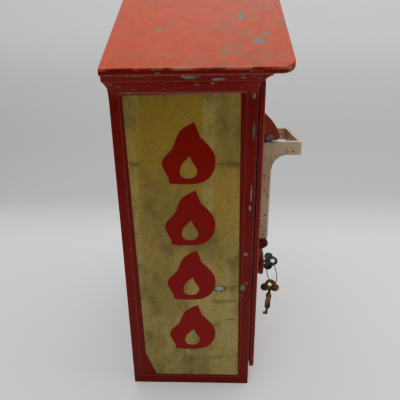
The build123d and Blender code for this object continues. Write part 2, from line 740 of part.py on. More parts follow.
def case_bezel():
    """The frame that holds the glass on the case's front."""
    outer = block(-CASE_HALF, CASE_HALF, CASE_FRONT - 5, CASE_FRONT, CASE_FOOT, CASE_TOP)
    outer = fillet(outer.edges().filter_by(Axis.Y), 6)
    window = inset_block(GLASS_EDGE + 3, CASE_FRONT - 6, CASE_FRONT + 1)
    return outer - window - inset_block(GLASS_EDGE, CASE_FRONT - 2.5, CASE_FRONT + 1)


def bezel_screws():
    """Four slotted screws in the bezel's corners."""
    return [
        rod_y(3.4, CASE_FRONT - 7, CASE_FRONT - 5, x, z)
        - block(x - 4, x + 4, CASE_FRONT - 8, CASE_FRONT - 6.2, z - 0.4, z + 0.4)
        for x, z in screw_places(BEZEL_INSET, CASE_HALF, CASE_FOOT, CASE_TOP)
    ]


def case_glass():
    """The window, which lies loose in its seat behind the bezel."""
    return inset_block(GLASS_EDGE + 0.3, CASE_FRONT - 2.4, CASE_FRONT + 0.1)


def movement_plate(y):
    """One brass plate of the movement, with holes for the arbors and pillar screws."""
    plate = block(-PLATE_HALF, PLATE_HALF, y - PLATE_THICK, y, PLATE_FOOT, PLATE_TOP)
    for x, z in (BARREL, CODE, ESCAPE):
        plate -= rod_y(ARBOR_R + RUNNING, y - 5, y + 2, x, z)
    for x, z in PILLARS:
        plate -= rod_y(PILLAR_SCREW_R + PRESS, y - 5, y + 2, x, z)
    return plate


def pillars():
    """Four pillars between the plates, with their threaded ends through both."""
    made = []
    for x, z in PILLARS:
        post = rod_y(4.5, FRONT_PLATE_Y, BACK_PLATE_Y - PLATE_THICK, x, z)
        ends = rod_y(PILLAR_SCREW_R, FRONT_PLATE_Y - PLATE_THICK, BACK_PLATE_Y, x, z)
        made.append(post + ends)
    return made


def pillar_feet():
    """Spacers between the back plate and the case's back."""
    return [rod_y(5, BACK_PLATE_Y + 0.05, BOSS_FACE - CASE_WALL, x, z) for x, z in PILLARS]


def pillar_nuts():
    """Hexagon nuts in front of the front plate."""
    made = []
    for x, z in PILLARS:
        hexagon = Plane.XZ.offset(-FRONT_PLATE_Y + PLATE_THICK) * Pos(x, z) * RegularPolygon(5, 6)
        made.append(extrude(hexagon, 2.5))
    return made


def involute(radius, base):
    """The involute function's angle at a radius, zero inside the base circle."""
    if radius <= base:
        return 0.0
    t = sqrt((radius / base) ** 2 - 1)
    return t - atan(t)


def gear(teeth, centre, y0, y1, tooth_at):
    """A spur gear with involute flanks along Y, with one tooth centred on an angle."""
    pitch = MODULE * teeth / 2
    base = pitch * cos(PRESSURE)
    root, tip = pitch - 1.15 * MODULE, pitch + 0.8 * MODULE
    half = pi / (2 * teeth) - BACKLASH / (2 * pitch) + involute(pitch, base)
    radii = [root] + [base + (tip - base) * k / 4 for k in range(5)]
    radii = sorted(set(max(r, root) for r in radii))
    points = []
    for tooth in range(teeth):
        middle = radians(tooth_at) + 2 * pi * tooth / teeth
        flank = [(r, half - involute(r, base)) for r in radii]
        for r, a in flank:
            points.append((r, middle - a))
        for r, a in reversed(flank):
            points.append((r, middle + a))
    outline = [(centre[0] + r * cos(a), centre[1] + r * sin(a)) for r, a in points]
    return prism_y(outline, y0, y1)


def barrel():
    """The mainspring barrel: a great wheel with a drum behind it."""
    x, z = BARREL
    wheel = gear(WHEEL_TEETH, BARREL, -64, -60, CODE_ANGLE)
    drum = rod_y(30, -60, -40, x, z) - rod_y(27.5, -58, -42, x, z)
    return wheel + drum - rod_y(ARBOR_R + RUNNING, -70, -30, x, z)


def mainspring():
    """The coiled spring in the drum, as nested rings of strip."""
    x, z = BARREL
    turns = []
    for k in range(5):
        outer = 27.2 - 4.4 * k
        turns.append(rod_y(outer, -57.5, -42.5, x, z) - rod_y(outer - 2.6, -58, -42, x, z))
    return turns


def barrel_arbor():
    """The winding arbor, with a square end in front of the plate."""
    x, z = BARREL
    arbor = rod_y(ARBOR_R, -74, ARBOR_BACK, x, z)
    return arbor + block(x - 2.6, x + 2.6, -82, -73, z - 2.6, z + 2.6)


def code_arbor():
    """The second arbor with its pinion and wheel."""
    x, z = CODE
    arbor = rod_y(ARBOR_R, -83, ARBOR_BACK, x, z)
    pinion_phase = CODE_ANGLE + 180 + 180 / PINION_TEETH
    pinion = gear(PINION_TEETH, CODE, -66, -58, pinion_phase)
    wheel = gear(WHEEL_TEETH, CODE, -36, -33, ESCAPE_ANGLE)
    for k in range(4):
        hx, hz = on_circle(CODE, 22, 45 + 90 * k)
        wheel -= rod_y(7, -40, -30, hx, hz)
    return arbor + pinion + wheel


def code_wheel():
    """The notched signal wheel in front of the plate."""
    x, z = CODE
    wheel = rod_y(CODE_WHEEL_R, -80, -77, x, z)
    for start in (20, 46, 72, 128, 154, 210, 236, 262, 288):
        nx, nz = on_circle(CODE, CODE_WHEEL_R, start)
        wheel -= rod_y(3.2, -81, -76, nx, nz)
    for k in range(3):
        hx, hz = on_circle(CODE, 15, 30 + 120 * k)
        wheel -= rod_y(6, -81, -76, hx, hz)
    hub = rod_y(6, -82, -75, x, z)
    return wheel + hub - rod_y(ARBOR_R, -90, -70, x, z)


def escape_arbor():
    """The third and fastest arbor, with its pinion."""
    x, z = ESCAPE
    pinion = gear(PINION_TEETH, ESCAPE, -38, -31, ESCAPE_ANGLE + 180 + 180 / PINION_TEETH)
    return rod_y(ARBOR_R, -74, ARBOR_BACK, x, z) + pinion


def governor():
    """The air vane that sets the movement's speed."""
    x, z = ESCAPE
    vane = block(x - 21, x + 21, -57, -56, z - 7, z + 7)
    hub = rod_y(5, -59, -54, x, z)
    return vane + hub - rod_y(ARBOR_R, -60, -50, x, z)


def contact_block():
    """The insulating block for the contact springs."""
    body = block(46, 64, -84, FRONT_PLATE_Y - PLATE_THICK, 226, 254)
    return fillet(body.edges().filter_by(Axis.Y), 2)


def contact_springs():
    """Two leaf springs that ride just clear of the code wheel."""
    leaves = []
    for z in (232.0, 246.0):
        leaf = block(39.9, 46, -80, -77, z - 0.3, z + 0.3)
        leaves.append(leaf + block(44.5, 46, -80, -76, z - 3, z + 3))
    return leaves


def terminals():
    """Three brass binding posts on the contact block."""
    posts = []
    for z in (231.0, 240.0, 249.0):
        posts.append(rod_y(2.6, -85.8, -84, 58, z) + rod_y(1.5, -87, -84, 58, z))
    return posts


# ---------------------------------------------------------------- bell
def gong():
    """A pressed steel gong, open towards the wall."""
    def cap(radius, depth, y):
        sphere_r = (radius**2 + depth**2) / (2 * depth)
        ball = Pos(0, y - depth + sphere_r, GONG_Z) * Sphere(sphere_r)
        return ball & block(-60, 60, y - depth - 1, y, GONG_Z - 60, GONG_Z + 60)

    shell_cap = cap(GONG_R, 20, GONG_RIM_Y) - cap(GONG_R - 2, 18.2, GONG_RIM_Y)
    return shell_cap - rod_y(GONG_HOLE_R + RUNNING, -70, GONG_RIM_Y, 0, GONG_Z)


def gong_post():
    """The stepped post that carries the gong off the back plate."""
    return rod_y(5, -56, BOSS_FACE, 0, GONG_Z) + rod_y(GONG_HOLE_R, -66, -5, 0, GONG_Z)


def gong_nut():
    """The nut in front of the gong."""
    hexagon = Plane.XZ.offset(60.2) * Pos(0, GONG_Z) * RegularPolygon(6, 6)
    return extrude(hexagon, 4.5) - rod_y(GONG_HOLE_R + PRESS, -70, -55, 0, GONG_Z)


def bell_frame():
    """The bracket for the coils, with the stud that the tapper rocks on."""
    plate = block(58, 87, -14, -10, 330, 360)
    foot = block(60, 78, -10, -WALL, 334, 356)
    cheek = block(84, 87, -54, -12, 330, 348)
    return plate + foot + cheek + rod_y(TAPPER_PIN_R, -58, -12, TAPPER_X, TAPPER_Z)


def bell_coils():
    """The two windings on the bracket's cheek."""
    return [rod_x(COIL_R, 70, 84, y, COIL_Z) for y in COIL_YS]


def tapper():
    """The rocker: an armature beside the coils, and an arm up to the hammer by the gong."""
    armature = block(TAPPER_X - 1.5, TAPPER_X + 1.5, -53, -17, 331, TAPPER_Z)
    hub = rod_y(4.5, -56, -16, TAPPER_X, TAPPER_Z)
    arm = prism_y([(64, 354), (68, 354), (48, 373.5), (44, 371)], -56, -53.5)
    hammer = rod_y(4.5, -56, -46, *HAMMER)
    hole = rod_y(TAPPER_PIN_R + RUNNING, -60, -12, TAPPER_X, TAPPER_Z)
    return armature + hub + arm + hammer - hole


# ---------------------------------------------------------------- export
def parts():
    """Every piece by its node name; a list is several solids under one name."""
    return castings() | {
        "sign_sheets": [sign(-1), sign(1)],
        "sign_marks": marks(-1) + marks(1),
        "conduit_bushing": conduit_bushing(),
        "ground_screw": ground_screw(),
        "door": door(),
        "door_rim": door_rim(),
        "cover_hood": hood(),
        "cover_seat": cover_seat(),
        "door_gasket": gasket(),
        "door_hinge_pins": hinge_pins(),
        "rod_bushing": rod_bushing(),
        "pull_cover": pull_cover(),
        "cover_cam": cover_cam(),
        "cover_pin": cover_pin(),
        "cover_springs": cover_springs(),
        "hood_pin": hood_pin(),
        "hood_roller": hood_roller(),
        "push_rod": push_rod(),
        "bell_crank": bell_crank(),
        "crank_bracket": crank_bracket(),
        "crank_pin": crank_pin(),
        "lock_body": lock_body(),
        "lock_escutcheon": escutcheon(),
        "lock_plug": lock_plug(),
        "lock_cam": lock_cam(),
        "key": key_in_lock(),
        "key_ring": key_ring(),
        "spare_key": spare_key(),
        "movement_case": inner_case(),
        "case_screws": case_screws(),
        "case_bezel": case_bezel(),
        "bezel_screws": bezel_screws(),
        "case_glass": case_glass(),
        "back_plate": movement_plate(BACK_PLATE_Y),
        "front_plate": movement_plate(FRONT_PLATE_Y),
        "plate_pillars": pillars(),
        "pillar_feet": pillar_feet(),
        "pillar_nuts": pillar_nuts(),
        "spring_barrel": barrel(),
        "mainspring": mainspring(),
        "winding_arbor": barrel_arbor(),
        "code_arbor": code_arbor(),
        "code_wheel": code_wheel(),
        "escape_arbor": escape_arbor(),
        "governor_vane": governor(),
        "contact_block": contact_block(),
        "contact_springs": contact_springs(),
        "terminal_posts": terminals(),
        "gong": gong(),
        "gong_post": gong_post(),
        "gong_nut": gong_nut(),
        "bell_frame": bell_frame(),
        "bell_coils": bell_coils(),
        "tapper": tapper(),
    }


def main():
    """Writes one STEP file for each piece, in the part's own frame."""
    os.makedirs("parts", exist_ok=True)
    to_origin = Pos(0, -BACK_LIP, -BOLT_HEIGHT)
    for name, made in parts().items():
        solids = made if isinstance(made, list) else [made]
        placed = [to_origin * s for s in solids]
        whole = placed[0] if len(placed) == 1 else Compound(children=placed)
        export_step(whole, f"parts/{name}.step")


main()
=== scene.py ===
"""The looks of the fire alarm call point: camera, light, materials and detailed pieces.

Everything is in metres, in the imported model's frame: the origin is the centre of the wall bolts,
+X is to the right of someone who faces the door, the wall is at y = 0 and +Z is up.
"""

import math

import bmesh
import bpy
from mathutils import Matrix, Vector


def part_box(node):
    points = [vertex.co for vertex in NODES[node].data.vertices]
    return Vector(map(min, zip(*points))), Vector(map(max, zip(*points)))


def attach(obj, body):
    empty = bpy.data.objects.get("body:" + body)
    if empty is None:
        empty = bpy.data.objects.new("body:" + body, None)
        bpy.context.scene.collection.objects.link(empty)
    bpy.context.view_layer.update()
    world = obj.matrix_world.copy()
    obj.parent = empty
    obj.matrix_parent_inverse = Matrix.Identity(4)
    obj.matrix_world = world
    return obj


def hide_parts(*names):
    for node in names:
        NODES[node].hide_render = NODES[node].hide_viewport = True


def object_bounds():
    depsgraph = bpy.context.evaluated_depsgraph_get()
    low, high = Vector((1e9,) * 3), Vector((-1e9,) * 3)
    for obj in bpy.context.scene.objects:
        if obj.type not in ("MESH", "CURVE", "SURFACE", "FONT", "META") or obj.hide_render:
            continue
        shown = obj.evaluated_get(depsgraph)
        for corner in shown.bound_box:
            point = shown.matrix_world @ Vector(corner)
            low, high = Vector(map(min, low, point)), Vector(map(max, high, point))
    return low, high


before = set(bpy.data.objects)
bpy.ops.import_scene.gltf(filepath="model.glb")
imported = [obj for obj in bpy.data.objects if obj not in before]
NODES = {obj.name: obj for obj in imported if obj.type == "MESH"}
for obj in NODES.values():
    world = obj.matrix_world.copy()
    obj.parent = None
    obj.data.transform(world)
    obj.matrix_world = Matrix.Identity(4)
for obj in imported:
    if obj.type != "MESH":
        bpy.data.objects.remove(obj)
cad_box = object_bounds()

FLOOR_Z = cad_box[0].z
SIGN_LOW, SIGN_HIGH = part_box("sign_sheets")
ROOF_LOW, ROOF_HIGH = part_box("roof")
ROOF_RISE = 0.087  # from the eaves' upper edge to the ridge
EAVE_Z = ROOF_HIGH.z - ROOF_RISE


def from_floor(y, z):
    """A place (y, z) given by its distance from the wall and its height, both in metres."""
    return -y, FLOOR_Z + z


# ---------------------------------------------------------------- camera, floor and light
CAMERA_PLACE = Vector((-0.5112, -0.1010, FLOOR_Z + 0.3794))
CAMERA_PITCH = math.radians(20.52)  # downwards
CAMERA_YAW = math.radians(2.13)  # from +X towards +Y
CAMERA_ROLL = math.radians(-0.787)
CAMERA_LENS = 34.65  # millimetres, for a sensor 36 mm wide


def make_camera():
    """Places the camera beside the box, a little above it and tipped down."""
    data = bpy.data.cameras.new("camera")
    data.sensor_width = 36
    data.lens = CAMERA_LENS
    data.clip_start = 0.01
    data.clip_end = 50
    camera = bpy.data.objects.new("camera", data)
    bpy.context.scene.collection.objects.link(camera)
    level = math.cos(CAMERA_PITCH)
    ahead = Vector((
        level * math.cos(CAMERA_YAW),
        level * math.sin(CAMERA_YAW),
        -math.sin(CAMERA_PITCH),
    ))
    right = ahead.cross(Vector((0, 0, 1))).normalized()
    up = right.cross(ahead)
    turned_right = right * math.cos(CAMERA_ROLL) + up * math.sin(CAMERA_ROLL)
    turned_up = up * math.cos(CAMERA_ROLL) - right * math.sin(CAMERA_ROLL)
    axes = Matrix((turned_right, turned_up, -ahead)).transposed()
    camera.matrix_world = Matrix.Translation(CAMERA_PLACE) @ axes.to_4x4()
    bpy.context.scene.camera = camera


def area_light(name, place, target, size, power):
    """Adds a rectangular light at place, turned towards target."""
    data = bpy.data.lights.new(name, "AREA")
    data.shape = "RECTANGLE"
    data.size, data.size_y = size
    data.energy = power
    light = bpy.data.objects.new(name, data)
    light.location = place
    light.rotation_mode = "QUATERNION"
    light.rotation_quaternion = (Vector(target) - Vector(place)).to_track_quat("-Z", "Y")
    bpy.context.scene.collection.objects.link(light)


SKY_COLOUR = (0.95, 0.97, 1.0, 1)
SKY_STRENGTH = 0.24


def make_light():
    """A large soft light overhead and beyond the object, so the near side is in shade."""
    world = bpy.data.worlds.new("studio")
    world.use_nodes = True
    background = world.node_tree.nodes["Background"]
    background.inputs["Color"].default_value = SKY_COLOUR
    background.inputs["Strength"].default_value = SKY_STRENGTH
    bpy.context.scene.world = world
    area_light("overhead", (0.12, -0.12, 1.45), (0.08, -0.07, 0), (1.3, 1.8), 44)
    area_light("front", (-0.25, -1.7, 0.6), (0, 0, 0.05), (0.9, 0.9), 10)


FLOOR_NEAR = -3.0  # where the table begins, on the camera's side
FLOOR_FLAT = 0.45  # where it begins to rise
FLOOR_CURVE = 0.32  # radius of the rise
FLOOR_TOP = 3.0
FLOOR_HALF_WIDTH = 3.5
CURVE_STEPS = 12


def floor_profile():
    """The table's outline as (x, z) from the near edge to the top of the rise."""
    profile = [(FLOOR_NEAR, 0.0), (FLOOR_FLAT, 0.0)]
    for k in range(1, CURVE_STEPS + 1):
        turn = math.radians(90 / CURVE_STEPS * k)
        across = FLOOR_CURVE * math.sin(turn)
        profile.append((FLOOR_FLAT + across, FLOOR_CURVE - FLOOR_CURVE * math.cos(turn)))
    profile.append((FLOOR_FLAT + FLOOR_CURVE, FLOOR_TOP))
    return profile


def floor_paper():
    """Pale matt paper, with painted shade low on the rise."""
    paper = Finish("floor_paper", {"Roughness": 0.8})
    # painted shade: the paper is darker low on the rise
    beyond = paper.band(paper.axis("X"), 0.22, 0.55)
    low = paper.band(paper.axis("Z"), FLOOR_Z + 0.5, FLOOR_Z + 0.1)
    pale = paper.mix(paper.noise(90, 3), (0.76, 0.765, 0.76), (0.80, 0.805, 0.80))
    paper.colour(paper.mix(paper.both(beyond, low), pale, (0.40, 0.40, 0.40)))
    return paper.material


def make_floor():
    """A pale table with a curved rise at the far side, away from the camera."""
    profile = floor_profile()
    mesh = bpy.data.meshes.new("floor")
    bm = bmesh.new()
    rows = []
    for y in (-FLOOR_HALF_WIDTH, FLOOR_HALF_WIDTH):
        rows.append([bm.verts.new((x, y, z + FLOOR_Z)) for x, z in profile])
    for a in range(len(profile) - 1):
        bm.faces.new((rows[0][a], rows[0][a + 1], rows[1][a + 1], rows[1][a]))
    bm.to_mesh(mesh)
    bm.free()
    for face in mesh.polygons:
        face.use_smooth = True
    floor = bpy.data.objects.new("floor", mesh)
    bpy.context.scene.collection.objects.link(floor)
    mesh.materials.append(floor_paper())


# ---------------------------------------------------------------- material nodes
class Finish:
    """One node material on object coordinates, and short ways to add nodes to it."""

    def __init__(self, name, uniform=None):
        self.material = bpy.data.materials.new(name)
        self.material.use_nodes = True
        self.nodes = self.material.node_tree.nodes
        self.links = self.material.node_tree.links
        self.shader = self.nodes["Principled BSDF"]
        self.place = self.nodes.new("ShaderNodeTexCoord").outputs["Object"]
        for socket, value in (uniform or {}).items():
            self.shader.inputs[socket].default_value = value

    def feed(self, socket, value):
        """Links a socket to another node's output, or sets its own value."""
        if isinstance(value, bpy.types.NodeSocket):
            self.links.new(value, socket)
        elif isinstance(value, tuple) and socket.type == "RGBA":
            socket.default_value = (*value, 1)
        else:
            socket.default_value = value

    def maths(self, operation, a, b=0.0):
        """One number from one or two others."""
        node = self.nodes.new("ShaderNodeMath")
        node.operation = operation
        self.feed(node.inputs[0], a)
        self.feed(node.inputs[1], b)
        return node.outputs[0]

    def vector(self, operation, a, b, output="Vector"):
        """One vector, or one number with output "Value", from two vectors."""
        node = self.nodes.new("ShaderNodeVectorMath")
        node.operation = operation
        self.feed(node.inputs[0], a)
        self.feed(node.inputs[1], b)
        return node.outputs[output]

    def scaled(self, x, y, z):
        """The place, stretched for a texture: a factor below 1 draws it out along that axis."""
        return self.vector("MULTIPLY", self.place, (x, y, z))

    def noise(self, scale, detail=4, place=None, roughness=0.55):
        """Soft clouds between 0 and 1, with about scale of them to the metre."""
        node = self.nodes.new("ShaderNodeTexNoise")
        self.feed(node.inputs["Vector"], place or self.place)
        node.inputs["Scale"].default_value = scale
        node.inputs["Detail"].default_value = detail
        node.inputs["Roughness"].default_value = roughness
        return node.outputs["Fac"]

    def cells(self, scale, feature="F1"):
        """The distance from the middle of small cells."""
        node = self.nodes.new("ShaderNodeTexVoronoi")
        node.feature = feature
        self.feed(node.inputs["Vector"], self.place)
        node.inputs["Scale"].default_value = scale
        return node.outputs["Distance"]

    def band(self, value, low, high):
        """0 below low, 1 above high (or the reverse), and a smooth step between them."""
        node = self.nodes.new("ShaderNodeMapRange")
        node.interpolation_type = "SMOOTHSTEP"
        self.feed(node.inputs["Value"], value)
        node.inputs["From Min"].default_value = min(low, high)
        node.inputs["From Max"].default_value = max(low, high)
        node.inputs["To Min"].default_value = float(low > high)
        node.inputs["To Max"].default_value = float(low < high)
        return node.outputs["Result"]

    def mix(self, share, a, b):
        """Colour a where share is 0 and colour b where it is 1."""
        node = self.nodes.new("ShaderNodeMix")
        node.data_type = "RGBA"
        self.feed(node.inputs["Factor"], share)
        self.feed(node.inputs[6], a)
        self.feed(node.inputs[7], b)
        return node.outputs[2]

    def both(self, a, b):
        """Two masks multiplied, or one mask scaled by a number."""
        return self.maths("MULTIPLY", a, b)

    def either(self, a, b):
        """The stronger of two masks."""
        return self.maths("MAXIMUM", a, b)

    def axis(self, letter, source=None):
        """One coordinate of a vector, or of the place on the object."""
        node = self.nodes.new("ShaderNodeSeparateXYZ")
        self.feed(node.inputs[0], source or self.place)
        return node.outputs[letter]

    def upward(self):
        """The upward part of the surface's direction: 1 on a level top."""
        return self.axis("Z", self.nodes.new("ShaderNodeNewGeometry").outputs["Normal"])

    def edges(self, radius, low, high):
        """1 within radius of a convex or concave edge, 0 on flat faces."""
        node = self.nodes.new("ShaderNodeBevel")
        node.samples = 6
        node.inputs["Radius"].default_value = radius
        flat = self.nodes.new("ShaderNodeNewGeometry").outputs["Normal"]
        likeness = self.vector("DOT_PRODUCT", node.outputs["Normal"], flat, "Value")
        return self.band(likeness, low, high)

    def spot(self, centre, reach, ragged=1.3):
        """1 inside a ragged blot round a point, whose half sizes along X, Y and Z are reach."""
        away = self.vector("SUBTRACT", self.place, centre)
        away = self.vector("DIVIDE", away, reach)
        far = self.vector("LENGTH", away, (0, 0, 0), "Value")
        wobble = self.maths("MULTIPLY", self.noise(300, 5, roughness=0.7), 2 * ragged)
        return self.band(self.maths("ADD", far, wobble), 1.06 + ragged, 0.94 + ragged)

    def bump(self, height, strength, distance, under=None):
        """A relief, which may lie on top of another one."""
        node = self.nodes.new("ShaderNodeBump")
        node.inputs["Strength"].default_value = strength
        node.inputs["Distance"].default_value = distance
        self.feed(node.inputs["Height"], height)
        if under is not None:
            self.feed(node.inputs["Normal"], under)
        return node.outputs["Normal"]

    def colour(self, value):
        self.feed(self.shader.inputs["Base Color"], value)

    def rough(self, value):
        self.feed(self.shader.inputs["Roughness"], value)

    def normal(self, value):
        self.feed(self.shader.inputs["Normal"], value)


# ---------------------------------------------------------------- paint
FADED_AND_LIT_FOOT = FLOOR_Z + 0.27  # what faces up above this height is lighter: partly faded by the sun, partly painted light
FADED_AND_LIT_TOP = FLOOR_Z + 0.29
MOULDING_FOOT = FLOOR_Z + 0.338
BARE_METAL = (0.075, 0.078, 0.065)
PRIMER = (0.145, 0.150, 0.125)
WEATHERED = (0.088, 0.078, 0.058)  # bare places that face the sky
STAIN = (0.165, 0.052, 0.026)
# the eaves' edge colour: partly rubbed paint, partly a painted highlight
EAVE_RUB_AND_HIGHLIGHT = (0.42, 0.17, 0.125)
HIGH_EDGE_RUB_AND_HIGHLIGHT = (0.40, 0.14, 0.10)  # edges at the moulding and above: partly rubbed paint, partly a painted highlight
STAIN_START_Y = ROOF_HIGH.y - 0.05  # the roof is more stained from here to its front

# Chips in the paint: a centre of (x, distance from the wall, height above the floor),
# and half sizes along X, Y and Z
ROOF_CHIPS = [
    ((-0.1209, 0.1434, 0.3917), (0.0058, 0.0062, 0.0058)),
    ((-0.1072, 0.1524, 0.3991), (0.0030, 0.0034, 0.0030)),
    ((-0.1384, 0.1220, 0.3822), (0.0040, 0.0022, 0.0040)),
    ((-0.1381, 0.1104, 0.3824), (0.0028, 0.0034, 0.0028)),
    ((-0.0985, 0.0475, 0.4038), (0.0042, 0.0032, 0.0042)),
    ((-0.0718, 0.1296, 0.4183), (0.0090, 0.0034, 0.0090)),
]
MOULDING_CHIPS = [
    ((-0.153, 0.0075, 0.3533), (0.004, 0.0034, 0.0034)),
    ((-0.153, 0.0861, 0.3542), (0.004, 0.0028, 0.0030)),
    ((-0.153, 0.1004, 0.3549), (0.004, 0.0022, 0.0024)),
    ((-0.153, 0.0791, 0.3619), (0.006, 0.0090, 0.0013)),
    ((-0.153, 0.1057, 0.3599), (0.006, 0.0065, 0.0012)),
    ((-0.153, 0.0350, 0.3640), (0.006, 0.0080, 0.0012)),
    ((-0.153, 0.1363, 0.3671), (0.006, 0.0050, 0.0014)),
    ((-0.153, 0.1156, 0.3504), (0.006, 0.0035, 0.0012)),
]
WALL_CHIPS = [
    ((-0.144, 0.1330, 0.1372), (0.003, 0.0026, 0.0042)),
    ((-0.144, 0.1300, 0.1270), (0.003, 0.0040, 0.0012)),
    ((-0.144, 0.1368, 0.1435), (0.003, 0.0016, 0.0018)),
    ((-0.144, 0.1355, 0.1790), (0.003, 0.0022, 0.0022)),
    ((-0.144, 0.1388, 0.3440), (0.003, 0.0014, 0.0028)),
    ((-0.144, 0.1395, 0.3120), (0.003, 0.0011, 0.0080)),
    ((-0.144, 0.1392, 0.2480), (0.003, 0.0010, 0.0085)),
    ((-0.144, 0.1385, 0.2330), (0.003, 0.0013, 0.0030)),
]


def chip_mask(paint, chips):
    """One mask for a list of chips whose y is a distance from the wall and z a height."""
    mask = None
    for (x, y, z), reach in chips:
        y, z = from_floor(y, z)
        blot = paint.spot((x, y, z), reach)
        mask = blot if mask is None else paint.either(mask, blot)
    return mask


def dimmed(colour, share):
    """A colour made darker."""
    return tuple(share * c for c in colour)


def faded_and_lit_red(paint, faded_and_lit, mottle):
    """The paint of the faces that look up at the sky: chalky from the sun and lighter as painted
    light, stained and specked.
    """
    chalky_and_lit = paint.mix(paint.band(mottle, 0.35, 0.7), faded_and_lit, dimmed(faded_and_lit, 0.8))
    front = paint.band(paint.axis("Y"), STAIN_START_Y, ROOF_LOW.y)
    scuffs = paint.maths("ADD", paint.noise(38, 6, roughness=0.78), paint.both(front, 0.06))
    stained = paint.mix(paint.both(paint.band(scuffs, 0.48, 0.66), 0.65), chalky_and_lit, STAIN)
    specks = paint.band(paint.noise(260, 3, roughness=0.6), 0.66, 0.72)
    return paint.mix(paint.both(specks, 0.45), stained, PRIMER)


def eave_rub_and_highlight_mask(paint, height, aside):
    """The eaves' edge over the side walls: patchy like rubbed paint, and lighter as a painted
    highlight.
    """
    off = paint.maths("ABSOLUTE", paint.maths("SUBTRACT", height, EAVE_Z - 0.0008))
    edge = paint.both(paint.band(off, 0.0022, 0.0006), paint.band(paint.noise(48, 5), 0.40, 0.62))
    return paint.both(edge, paint.band(aside, ROOF_HIGH.x - 0.005, ROOF_HIGH.x - 0.003))


def bare_mask(paint, edge_mask, height, aside, chips, wear):
    """Where the paint has come off: on worn edges, in flecks and in the placed chips."""
    moulding = paint.both(paint.band(height, MOULDING_FOOT, MOULDING_FOOT + 0.012), 0.035)
    moulding = paint.both(moulding, paint.band(aside, SIGN_HIGH.x - 0.002, SIGN_HIGH.x + 0.001))
    nicks = paint.maths("ADD", paint.noise(160, 5, roughness=0.7), moulding)
    worn = paint.both(edge_mask, paint.band(nicks, 0.62 - wear, 0.68 - wear))
    streaks = paint.noise(240, 4, paint.scaled(1, 0.45, 1))
    flecks = paint.band(paint.maths("ADD", streaks, paint.both(moulding, 1.6)), 0.715, 0.735)
    bare = paint.either(worn, paint.both(flecks, 0.9))
    if chips:
        bare = paint.either(bare, chip_mask(paint, chips))
    return bare


def red_paint(name, deep, warm, faded_and_lit, chips, wear):
    """Old gloss enamel: deep red in the shade, lighter where it faces up (partly chalky from the
    sun, partly painted light), with paler edges (partly rubbed, partly a painted highlight), chipped
    on edges.
    """
    paint = Finish(name, {"Specular IOR Level": 0.12})
    mottle = paint.noise(70, 5, roughness=0.7)
    grain = paint.noise(900, 3)
    height = paint.axis("Z")
    aside = paint.maths("ABSOLUTE", paint.axis("X"))
    body = paint.mix(paint.band(paint.noise(9, 5), 0.35, 0.65), deep, warm)
    foot = paint.both(paint.band(height, FLOOR_Z + 0.20, FLOOR_Z), paint.band(mottle, 0.3, 0.7))
    body = paint.mix(foot, body, dimmed(warm, 0.85))
    # the faces that look up are lighter: partly sun-chalked paint, partly painted light
    faded_and_lit_top = paint.both(paint.band(paint.upward(), 0.35, 0.8), paint.band(height, FADED_AND_LIT_FOOT, FADED_AND_LIT_TOP))
    body = paint.mix(faded_and_lit_top, body, faded_and_lit_red(paint, faded_and_lit, mottle))
    # painted highlight along the eaves' edge, patchy like rubbed paint
    body = paint.mix(paint.both(eave_rub_and_highlight_mask(paint, height, aside), 0.55), body, EAVE_RUB_AND_HIGHLIGHT)
    # paler edges: partly rubbed paint, partly a painted highlight
    edge_mask = paint.edges(0.0022, 0.985, 0.90)
    edge_rub_and_highlight_red = tuple(1.5 * c + 0.04 for c in warm)
    pale = paint.mix(paint.band(height, MOULDING_FOOT, EAVE_Z), edge_rub_and_highlight_red, HIGH_EDGE_RUB_AND_HIGHLIGHT)
    body = paint.mix(paint.both(edge_mask, 0.6), body, pale)
    bare = bare_mask(paint, edge_mask, height, aside, chips, wear)
    casting = paint.mix(paint.band(mottle, 0.4, 0.6), BARE_METAL, PRIMER)
    casting = paint.mix(paint.both(faded_and_lit_top, 0.7), casting, WEATHERED)
    paint.colour(paint.mix(bare, body, casting))
    dull = paint.maths("ADD", paint.both(faded_and_lit_top, 0.22), 0.36)
    paint.rough(paint.maths("ADD", dull, paint.both(mottle, 0.16)))
    relief = paint.maths("SUBTRACT", paint.both(mottle, 0.5), bare)
    paint.normal(paint.bump(relief, 0.5, 0.0005, paint.bump(grain, 0.12, 0.0003)))
    return paint.material


def cream_paint():
    """The pull cover's cream paint, yellowed, with dark chips in groups and on its edges."""
    paint = Finish("cream_paint", {"Specular IOR Level": 0.4})
    clouds = paint.noise(22, 5)
    mottle = paint.noise(120, 5, roughness=0.7)
    body = paint.mix(paint.band(clouds, 0.35, 0.65), (0.36, 0.262, 0.150), (0.43, 0.330, 0.215))
    grime = paint.both(paint.band(paint.noise(46, 6, roughness=0.8), 0.5, 0.7), 0.5)
    body = paint.mix(grime, body, (0.24, 0.16, 0.09))
    edge_mask = paint.edges(0.0014, 0.985, 0.9)
    worn = paint.both(edge_mask, paint.band(paint.noise(210, 5, roughness=0.75), 0.49, 0.55))
    groups = paint.band(paint.noise(34, 2), 0.40, 0.50)
    breaks = paint.noise(240, 4, roughness=0.65)
    chips = paint.both(groups, paint.band(breaks, 0.585, 0.605))
    under = paint.both(paint.band(paint.upward(), -0.25, -0.7), paint.band(breaks, 0.46, 0.50))
    bare = paint.either(paint.either(worn, chips), under)
    rim = paint.both(groups, paint.band(breaks, 0.57, 0.60))
    body = paint.mix(paint.both(rim, 0.6), body, (0.28, 0.10, 0.06))
    paint.colour(paint.mix(bare, body, (0.035, 0.028, 0.026)))
    paint.rough(paint.maths("ADD", 0.34, paint.maths("MULTIPLY", mottle, 0.25)))
    relief = paint.maths("SUBTRACT", paint.maths("MULTIPLY", mottle, 0.4), bare)
    paint.normal(paint.bump(relief, 0.55, 0.0004))
    return paint.material


